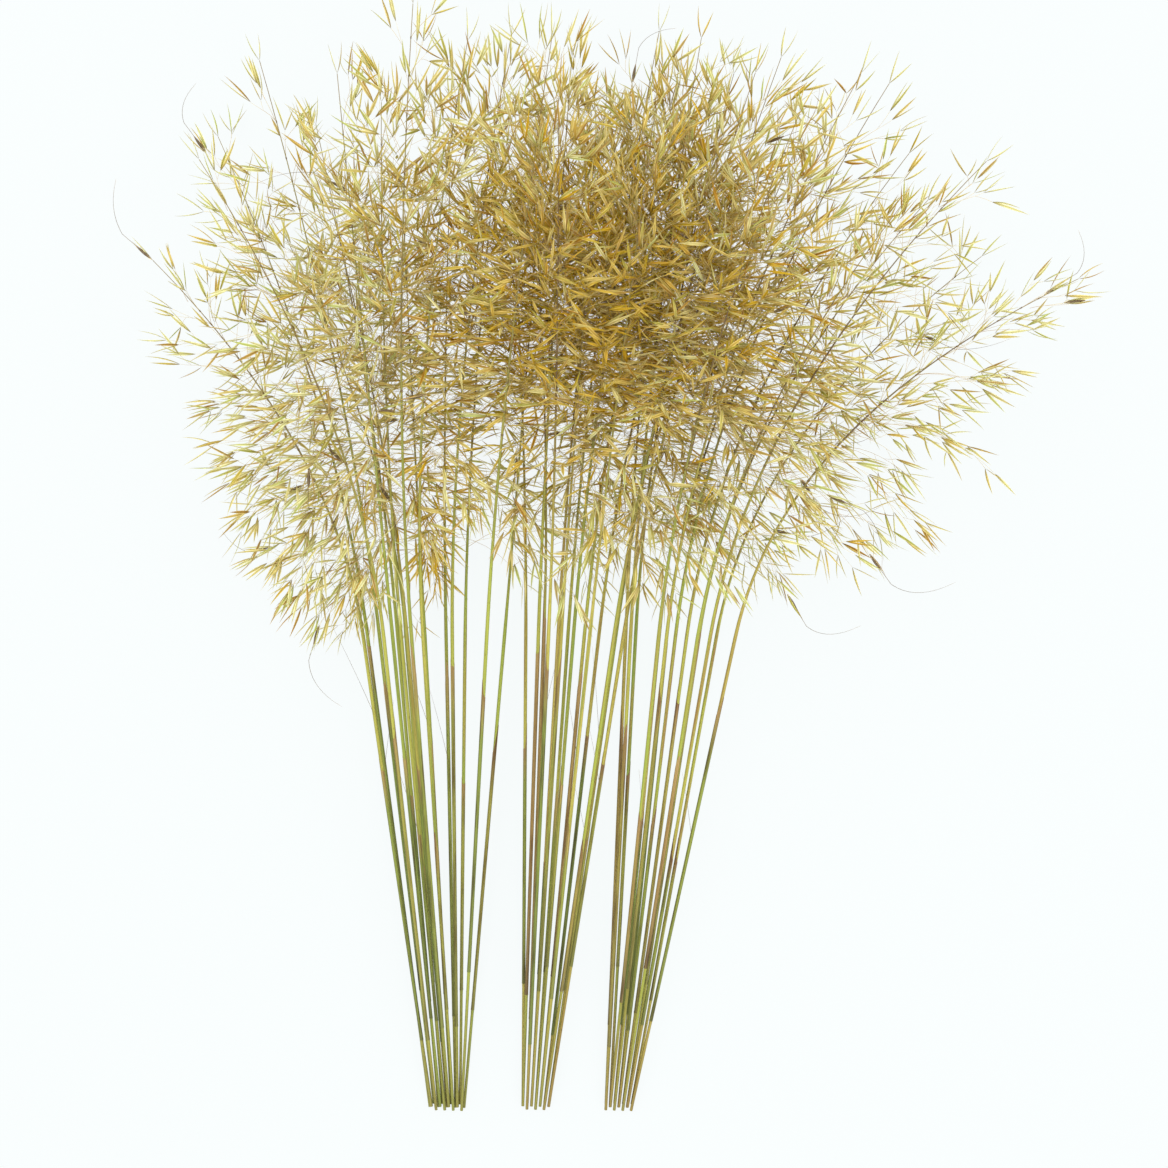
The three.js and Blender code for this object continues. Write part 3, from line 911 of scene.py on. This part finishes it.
def add_caught_awn(shape, stem, rng):
    """A shed awn that leans from the culm to its neighbours."""
    root = culm_points(stem, share_at(stem, rng.uniform(*CAUGHT_Y)))[0]
    root[2] += NECK_RADIUS
    forward = unit(stem.neck - stem.foot)
    side = right_of(forward) * rng.choice([-1, 1])
    angle = math.radians(rng.uniform(*CAUGHT_ANGLE))
    reach = unit(direction_at((forward, side), angle)) * rng.uniform(*CAUGHT_LENGTH)
    knee = root + (reach + forward * CAUGHT_BOW) / 2
    end = root + reach + UP * CAUGHT_RISE
    path = bezier([root, knee, end], np.linspace(0, 1, AWN_RINGS))
    radii = np.linspace(*CAUGHT_RADIUS, AWN_RINGS)
    add_tubes(shape, path[None], radii, FLORET, pointed=True)


def add_sheath(shape, stem, rng):
    """A leaf sheath that starts at the joint, wraps the culm above it and is torn at its top."""
    end_share = share_at(stem, rng.uniform(*SHEATH_END_Y))
    shares = np.linspace(stem.joint_share, end_share, SHEATH_RINGS)
    shares = np.insert(shares, 1, shares[0] + JOINT_HALF_LENGTH / stem.length)
    points = culm_points(stem, shares)
    angles, [across] = directions_around(path_axes(points[None]), ROUND_SIDES)
    outer = sheath_radii(stem, shares)
    travel = culm_direction(stem, end_share)
    middle = rng.uniform(0, 2 * math.pi)
    tongue = rng.uniform(*SHEATH_TONGUE) * ((1 + np.cos(angles - middle)) / 2) ** TONGUE_SHARPNESS
    tongue = tongue + rng.uniform(0, SHEATH_TEAR, ROUND_SIDES)
    walls = [points[:, None] + across * radii[:, None, None] for radii in (outer, outer - SHEATH_WALL)]
    for wall in walls:
        wall[-1] += travel * tongue[:, None]
    rings = np.concatenate([walls[0], walls[1][::-1]])[None]
    lengths = path_lengths(points[None])[0]
    lengths = np.append(lengths, lengths[::-1])
    grain = grain_of(
        np.cos(angles) * outer[0] + stem.offset, np.sin(angles) * outer[0], lengths[:, None],
    )
    along = (np.append(shares, shares[::-1]) - shares[0]) / (end_share - shares[0])
    values = along[:, None], rng.uniform(*SHEATH_TONE[stem.bunch]), stem.shade
    shape.loft(rings, grain, values, SHEATH, closed=True)


# Materials

def linear(colour):
    """A colour written as on screen, as the linear numbers that a shader takes."""
    channels = [(colour >> shift & 255) / 255 for shift in (16, 8, 0)]
    return *Color(channels).from_srgb_to_scene_linear(), 1.0


class Nodes:
    def __init__(self, name):
        self.material = bpy.data.materials.new(name)
        self.material.use_nodes = True
        self.tree = self.material.node_tree
        self.tree.nodes.clear()

    def add(self, kind, inputs, **settings):
        """A new node. Each input is linked to an output of another node, or set to a value."""
        node = self.tree.nodes.new(f"ShaderNode{kind}")
        for key, setting in settings.items():
            setattr(node, key, setting)
        for key, value in inputs.items():
            if isinstance(value, bpy.types.NodeSocket):
                self.tree.links.new(value, node.inputs[key])
            else:
                node.inputs[key].default_value = value
        return node

    def attributes(self, *names):
        return [self.add("Attribute", {}, attribute_name=name).outputs["Fac"] for name in names]

    def grain(self):
        return self.add("Attribute", {}, attribute_name="grain").outputs["Vector"]

    def distance_across(self):
        """How far a place is from the middle, to either side."""
        across = self.add("SeparateXYZ", {0: self.grain()}).outputs["X"]
        return self.add("Math", {0: across}, operation="ABSOLUTE").outputs[0]

    def noise(self, across, along, detail=2.0):
        """Noise that changes about so many times a millimetre across a shape, and along it."""
        inputs = {0: self.grain(), 1: (across, across, along)}
        stretched = self.add("VectorMath", inputs, operation="MULTIPLY").outputs[0]
        inputs = {"Vector": stretched, "Scale": 1.0, "Detail": detail}
        return self.add("TexNoise", inputs).outputs["Fac"]

    def ramp(self, value, stops):
        node = self.add("ValToRGB", {0: value})
        elements = node.color_ramp.elements
        while len(elements) < len(stops):
            elements.new(0.5)
        for element, (place, colour) in zip(elements, stops):
            element.position = place
            element.color = linear(colour)
        return node.outputs["Color"]

    def spread(self, value, low, high, to_low=0.0, to_high=1.0):
        inputs = {"Value": value, "From Min": low, "From Max": high, "To Min": to_low, "To Max": to_high}
        return self.add("MapRange", inputs).outputs["Result"]

    def blend(self, factor, first, second, mode="MIX"):
        inputs = {"Factor": factor, "A": first, "B": second}
        return self.add("Mix", inputs, data_type="RGBA", blend_type=mode).outputs["Result"]

    def stain(self, colour, tint, factor):
        """The colour times a tint, as far as the factor says."""
        return self.blend(factor, colour, linear(tint), "MULTIPLY")

    def bump(self, height, strength, distance):
        inputs = {"Height": height, "Strength": strength, "Distance": distance}
        return self.add("Bump", inputs).outputs["Normal"]

    def finish(self, colour, roughness, normal=None, through=0.0, specular=0.35):
        inputs = {"Base Color": colour, "Roughness": roughness, "Specular IOR Level": specular}
        if normal is not None:
            inputs["Normal"] = normal
        surface = self.add("BsdfPrincipled", inputs).outputs[0]
        if through > 0:
            translucent = self.add("BsdfTranslucent", {"Color": colour}).outputs[0]
            surface = self.add("MixShader", {0: through, 1: surface, 2: translucent}).outputs[0]
        self.add("OutputMaterial", {"Surface": surface})
        return self.material


def glume_material():
    nodes = Nodes("glume")
    along, tone, shade = nodes.attributes("along", "tone", "shade")
    veins = nodes.noise(4.0, 0.05, detail=1.0)
    blotches = nodes.noise(0.35, 0.08)
    from_keel = nodes.distance_across()
    pale = nodes.ramp(along, [
        (0.0, 0x9e8e5c), (0.14, 0xd0cb98), (0.4, 0xe4e2b0), (0.8, 0xeae9bc), (1.0, 0xedeccf),
    ])
    gold = nodes.ramp(along, [
        (0.0, 0x907626), (0.14, 0xcaa826), (0.4, 0xdebb29), (0.75, 0xe4c739), (1.0, 0xe8d76a),
    ])
    # Tone mixes pale straw and gold. For glumes it is raised deep in the heads as painted shade, and it
    # also varies at random
    colour = nodes.blend(tone, pale, gold)
    colour = nodes.stain(colour, 0xdac494, nodes.spread(blotches, 0.54, 0.74, 0.0, 0.4))
    cast = nodes.ramp(shade, [(0.0, 0xe2edba), (0.3, 0xffffff), (0.8, 0xffffff), (1.0, 0xd8b684)])
    colour = nodes.blend(1.0, colour, cast, "MULTIPLY")
    colour = nodes.stain(colour, 0xe0daba, nodes.spread(veins, 0.42, 0.62, 0.0, 0.6))
    colour = nodes.blend(nodes.spread(from_keel, 0.08, 0.45, 0.5, 0.0), colour, linear(0x9a8644))
    # Paler margins: partly the thin edge's own paler colour, partly a painted highlight of light shining
    # through it
    pale_lit_margin = nodes.blend(tone, linear(0xf6f4d2), linear(0xf0de80))
    colour = nodes.blend(nodes.spread(from_keel, 0.7, 1.3, 0.0, 0.6), colour, pale_lit_margin)
    normal = nodes.bump(veins, 0.2, 0.0002)
    roughness = nodes.spread(veins, 0.3, 0.7, 0.55, 0.7)
    return nodes.finish(colour, roughness, normal, through=0.58, specular=0.1)


def culm_material():
    nodes = Nodes("culm")
    along, tone, shade = nodes.attributes("along", "tone", "shade")
    ribs = nodes.noise(3.2, 0.01)
    patches = nodes.noise(0.35, 0.012, detail=3.0)
    specks = nodes.noise(1.2, 0.25, detail=4.0)
    base = nodes.ramp(tone, [
        (0.0, 0x5f7028), (0.25, 0x7a852e), (0.5, 0x8b8b36), (0.75, 0x96893c), (1.0, 0x9c7f48),
    ])
    dark = nodes.ramp(shade, [(0.0, 0x5e6c24), (0.5, 0x7c702a), (1.0, 0x775430)])
    colour = nodes.blend(nodes.spread(patches, 0.42, 0.7), base, dark)
    head = nodes.ramp(shade, [(0.0, 0x76703a), (0.35, 0x66562e), (0.65, 0x564028), (1.0, 0x483026)])
    colour = nodes.blend(nodes.spread(along, 0.52, 0.76), colour, head)
    colour = nodes.blend(nodes.spread(along, 0.84, 0.97), colour, linear(0x6e5a36))
    pores = nodes.noise(3.0, 3.0, detail=3.0)
    pith = nodes.ramp(pores, [(0.35, 0x7c683c), (0.55, 0xb6a26c), (0.7, 0xc8b888)])
    # Darker toward the cut ends: partly the culm's own colour, partly painted shade
    foot = nodes.ramp(shade, [(0.0, 0x5c6228), (1.0, 0x6a4e2a)])
    colour = nodes.blend(nodes.spread(along, 0.0, 0.2, 0.9, 0.0), colour, foot)
    colour = nodes.stain(colour, 0x8c6450, nodes.spread(specks, 0.6, 0.72, 0.0, 0.75))
    colour = nodes.blend(nodes.spread(ribs, 0.5, 0.62, 0.0, 0.35), colour, linear(0xa69e4a))
    colour = nodes.blend(nodes.spread(along, PITH_ALONG, 0.0, 1.0, 0.0), colour, pith)
    normal = nodes.bump(ribs, 0.5, 0.0003)
    return nodes.finish(colour, nodes.spread(ribs, 0.3, 0.7, 0.4, 0.6), normal, specular=0.25)


def sheath_material():
    nodes = Nodes("leaf_sheath")
    along, tone, shade = nodes.attributes("along", "tone", "shade")
    ribs = nodes.noise(4.0, 0.008)
    patches = nodes.noise(0.3, 0.02, detail=3.0)
    base = nodes.ramp(tone, [
        (0.0, 0x606f26), (0.4, 0x7a812e), (0.7, 0x8b8236), (0.88, 0x846a36), (1.0, 0x684c32),
    ])
    foot = nodes.ramp(tone, [(0.0, 0x586426), (0.6, 0x6c6a30), (1.0, 0x624a2e)])
    colour = nodes.blend(nodes.spread(along, 0.0, 0.5, 0.85, 0.0), base, foot)
    dry = nodes.ramp(shade, [(0.0, 0xa08a50), (1.0, 0x7a5834)])
    colour = nodes.blend(nodes.spread(along, 0.86, 1.0), colour, dry)
    colour = nodes.stain(colour, 0x94704e, nodes.spread(patches, 0.5, 0.7, 0.0, 0.8))
    colour = nodes.stain(colour, 0xb9b090, nodes.spread(ribs, 0.44, 0.58))
    normal = nodes.bump(ribs, 0.6, 0.0003)
    return nodes.finish(colour, nodes.spread(patches, 0.3, 0.7, 0.5, 0.7), normal)


def branch_material():
    nodes = Nodes("branch")
    along, shade = nodes.attributes("along", "shade")
    patches = nodes.noise(0.8, 0.06)
    colour = nodes.ramp(along, [(0.0, 0x7e623a), (0.4, 0xa48a56), (1.0, 0xbaa66c)])
    other = nodes.ramp(shade, [(0.0, 0xb0a866), (1.0, 0x8a6c4c)])
    colour = nodes.blend(nodes.spread(patches, 0.4, 0.65), colour, other)
    return nodes.finish(colour, nodes.spread(patches, 0.3, 0.7, 0.5, 0.7))


def floret_material():
    nodes = Nodes("floret")
    [along] = nodes.attributes("along")
    streaks = nodes.noise(3.0, 0.2)
    colour = nodes.ramp(along, [(0.0, 0x64502e), (0.3, 0x42331f), (0.8, 0x504028), (1.0, 0x846c4a)])
    colour = nodes.blend(nodes.spread(streaks, 0.45, 0.65, 0.0, 0.4), colour, linear(0x90784c))
    normal = nodes.bump(streaks, 0.4, 0.0002)
    return nodes.finish(colour, nodes.spread(streaks, 0.3, 0.7, 0.45, 0.65), normal)


def hair_material():
    nodes = Nodes("tuft_hair")
    [along] = nodes.attributes("along")
    colour = nodes.ramp(along, [(0.0, 0xcbb88a), (1.0, 0xeee6cc)])
    return nodes.finish(colour, nodes.spread(along, 0.0, 1.0, 0.6, 0.45))


CULM, SHEATH, BRANCH, GLUME, FLORET, HAIR = range(6)


def grow(stem):
    """Draws what sets a stem apart from the others, and grows its fine head."""
    stem.rng = rng = np.random.default_rng(FINE_SEED + stem.number)
    stem.tone = rng.uniform(*CULM_TONE[stem.bunch])
    stem.shade = rng.uniform(*CULM_SHADE[stem.bunch])
    stem.offset = rng.uniform(0, CULM_OFFSET)
    stem.joint_share = share_at(stem, rng.uniform(*JOINT_Y))
    stem.head = grow_fine_head(stem, rng)
    chosen = rng.choice(len(stem.head.spikelets), FLORETS_PER_STEM, replace=False)
    stem.with_floret = [stem.head.spikelets[index] for index in chosen]


def close_spikelet(spikelet):
    """Brings the glumes together, as they are around a floret."""
    for index, side in enumerate((CLOSED_SHARE, -CLOSED_SHARE)):
        length = length_of(spikelet.tips[index] - spikelet.fork)
        along = unit(spikelet.facing + spikelet.across * side)
        spikelet.tips[index] = end_of(spikelet.fork, along, length, FLOOR_GAP)


def hold_florets_at_spots(stems):
    """The spikelet that is nearest to each spot, seen from above, is closed around a floret."""
    everywhere = [(stem, spikelet) for stem in stems for spikelet in stem.head.spikelets]
    forks = np.array([spikelet.fork[:2] for _, spikelet in everywhere])
    for spot in FLORET_SPOTS:
        stem, spikelet = everywhere[np.argmin(np.linalg.norm(forks - spot, axis=1))]
        close_spikelet(spikelet)
        stem.with_floret.append(spikelet)


def dress(stem, materials):
    rng = stem.rng
    head = stem.head
    shape = Shape()
    add_culm(shape, stem)
    add_sheath(shape, stem, rng)
    add_knots(shape, stem, head.knots)
    for paths, ends in ((head.branches, BRANCH_FINE_RADIUS), (head.pedicels, PEDICEL_RADIUS)):
        radii = np.linspace(*ends, paths.shape[1])
        add_tubes(shape, paths, radii, BRANCH, shade=rng.uniform(0, 1, len(paths)))
    # Painted shade: the glumes' tone leans to gold the deeper a spikelet lies in the two thick parts of
    # the heads, with a random spread about that
    forks = np.array([spikelet.fork for spikelet in head.spikelets])[:, None]
    deep_shade = np.exp(-(((forks - GOLD_SHADE_MIDDLES) / GOLD_SHADE_REACHES) ** 2).sum(2)).max(1)
    tones = np.clip(rng.normal(mix(GOLD_SHADE_TONE, deep_shade), TONE_SPREAD), 0, 1)
    add_glumes(shape, head.spikelets, tones, rng)
    for spikelet in stem.with_floret:
        add_floret(shape, spikelet, rng)
    if rng.uniform(0, 1) < CAUGHT_SHARE:
        add_caught_awn(shape, stem, rng)
    piece = shape.make(f"grass_{stem.name}", materials)
    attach(piece, "root")
    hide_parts(f"stem_{stem.name}")


# Surface, light and camera

PICTURE_SIZE = 1168
PIXELS_PER_MM = 1.02
CAMERA_HEIGHT = 1826.0
BUNDLE_MIDDLE = 120.0
CAMERA_X = -30.4
CAMERA_Y = -8.8
SENSOR = 36.0

# Floor, in metres. It glows a little, so that the thin straw casts no dark gaps
FLOOR_HALF = 30.0
FLOOR_COLOUR = (0.03, 0.032, 0.032, 1)
FLOOR_GLOW_COLOUR = (0.965, 1.0, 1.0, 1)
FLOOR_GLOW = 0.91
WORLD_COLOUR = (0.97, 0.99, 1.0, 1)
WORLD_STRENGTH = 1.8

# Name, place and width in metres, and power of each light, and the point that they face
LIGHTS = [("key", (-0.9, 1.0, 2.3), 2.2, 34.0), ("fill", (1.2, -0.6, 2.0), 2.2, 23.0)]
LIT_POINT = (0.0, 0.1, 0.1)

floor_mesh = bpy.data.meshes.new("floor")
sides = ((-1, -1), (1, -1), (1, 1), (-1, 1))
floor_mesh.from_pydata([(x * FLOOR_HALF, y * FLOOR_HALF, 0) for x, y in sides], [], [(0, 1, 2, 3)])
nodes = Nodes("floor")
shader = nodes.add("BsdfPrincipled", {
    "Base Color": FLOOR_COLOUR, "Roughness": 0.9, "Specular IOR Level": 0.1,
    "Emission Color": FLOOR_GLOW_COLOUR, "Emission Strength": FLOOR_GLOW,
})
nodes.add("OutputMaterial", {"Surface": shader.outputs[0]})
floor_mesh.materials.append(nodes.material)
floor = add_object("floor", floor_mesh)

world = bpy.data.worlds.new("studio")
world.use_nodes = True
background = world.node_tree.nodes["Background"]
background.inputs["Color"].default_value = WORLD_COLOUR
background.inputs["Strength"].default_value = WORLD_STRENGTH
bpy.context.scene.world = world

for name, place, size, power in LIGHTS:
    lamp = bpy.data.lights.new(name, "AREA")
    lamp.shape = "DISK"
    lamp.size = size
    lamp.energy = power
    light = add_object(name, lamp)
    light.location = place
    light.rotation_euler = (Vector(place) - Vector(LIT_POINT)).to_track_quat("Z", "Y").to_euler()

optics = bpy.data.cameras.new("camera")
optics.sensor_width = SENSOR
optics.lens = SENSOR * PIXELS_PER_MM * (CAMERA_HEIGHT - BUNDLE_MIDDLE) / PICTURE_SIZE
camera = add_object("camera", optics)
camera.location = (CAMERA_X * MM, CAMERA_Y * MM, CAMERA_HEIGHT * MM)
bpy.context.scene.camera = camera
bpy.context.scene.view_settings.view_transform = "Standard"


# The bundle

grass_materials = [
    culm_material(), sheath_material(), branch_material(), glume_material(), floret_material(),
    hair_material(),
]
grass = lay_bundle()
for stem in grass:
    grow(stem)
hold_florets_at_spots(grass)
for stem in grass:
    dress(stem, grass_materials)
